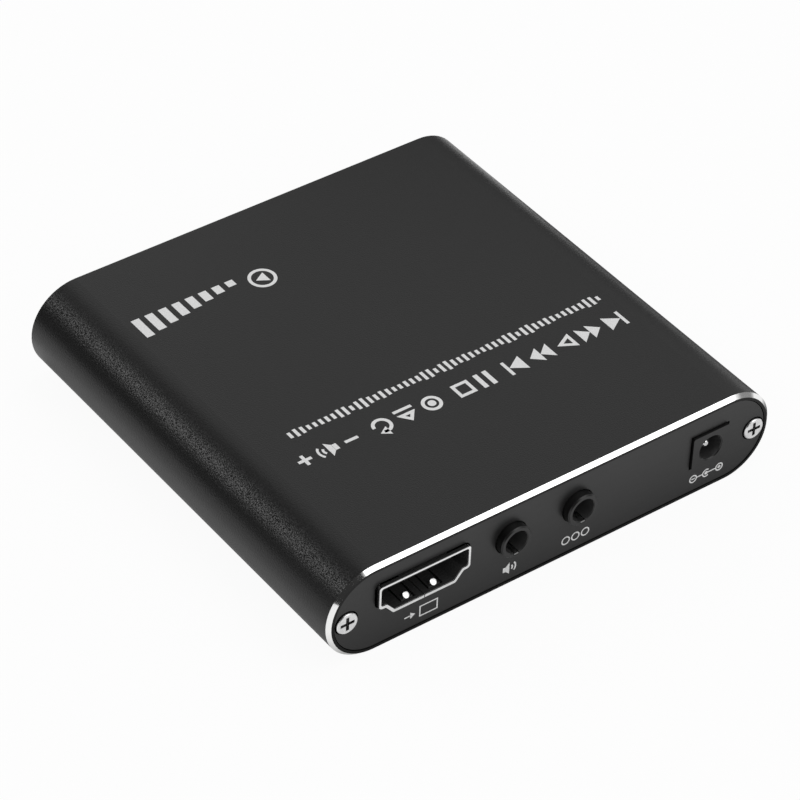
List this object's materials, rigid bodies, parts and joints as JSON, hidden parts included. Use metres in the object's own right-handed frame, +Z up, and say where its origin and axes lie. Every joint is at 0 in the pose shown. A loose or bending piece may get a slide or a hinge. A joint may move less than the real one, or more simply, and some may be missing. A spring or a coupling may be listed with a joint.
{
  "type": "media player",
  "caption": "Palm-sized solid-state media player: extruded sleeve with rounded sides, screwed end panels with video, audio, power, drive and card sockets, and a sprung card carriage.",
  "frame": {"origin": "middle of the sleeve's flat underside", "axes": "+Z up out of the sleeve's top, -Y out of the port panel, +X along the port panel to the power jack"},
  "size_m": [0.074, 0.0733, 0.0148],
  "materials": {
    "black_anodised_sleeve": "bead-blasted black anodised, end edges cut bright",
    "black_anodised_panel": "satin black anodised",
    "plated_screw_steel": "bright nickel plated",
    "plated_socket_sheet": "nickel plated sheet",
    "black_insulator": "moulded",
    "white_insulator": "moulded",
    "black_jack_plastic": "satin moulded",
    "gilt_contact": "gold flashed",
    "tinned_contact": "tin plated",
    "spring_steel": "drawn wire",
    "board_laminate": "solder resist",
    "chip_epoxy": "moulded epoxy",
    "dark_window": "dark tinted, polished",
    "lamp_epoxy": "tinted clear",
    "crystal_can": "drawn can",
    "capacitor_can": "drawn can",
    "ferrite": "sintered",
    "resistor_ceramic": "fired",
    "pale_print": "screen printed"
  },
  "bodies": {
    "player": {"av_jack_contacts": "tinned_contact", "av_jack_housing": "black_jack_plastic", "card_eject_spring": "spring_steel", "card_latch_pin": "spring_steel", "card_socket_base": "black_insulator", "card_socket_contacts": "gilt_contact", "card_socket_cover": "plated_socket_sheet", "case_sleeve": "black_anodised_sleeve", "chip_resistors": "resistor_ceramic", "clock_crystal": "crystal_can", "component_jack_contacts": "tinned_contact", "component_jack_housing": "black_jack_plastic", "dc_jack_housing": "black_jack_plastic", "dc_jack_pin": "tinned_contact", "dc_jack_spring": "tinned_contact", "drive_socket_contacts": "gilt_contact", "drive_socket_insulator": "white_insulator", "drive_socket_shell": "plated_socket_sheet", "filter_capacitors": "capacitor_can", "flash_chip": "chip_epoxy", "ir_receiver": "chip_epoxy", "ir_receiver_leads": "tinned_contact", "ir_window": "dark_window", "main_board": "board_laminate", "media_panel": "black_anodised_panel", "media_panel_screws": "plated_screw_steel", "media_processor": "chip_epoxy", "memory_chips": "chip_epoxy", "port_panel": "black_anodised_panel", "port_panel_screws": "plated_screw_steel", "power_inductors": "ferrite", "status_led": "lamp_epoxy", "video_driver_chip": "chip_epoxy", "video_socket_contacts": "gilt_contact", "video_socket_insulator": "black_insulator", "video_socket_shell": "plated_socket_sheet", "voltage_regulators": "chip_epoxy"},
    "card_carriage": {"card_slider": "black_insulator"}
  },
  "joints": [
    {"name": "card_push", "type": "slide", "parent": "player", "child": "card_carriage", "axis": [0, -1, 0], "range_m": [0, 0.0056], "stiffness_N_per_m": 150, "springref_m": -0.004, "deforming": ["card_eject_spring"]}
  ]
}
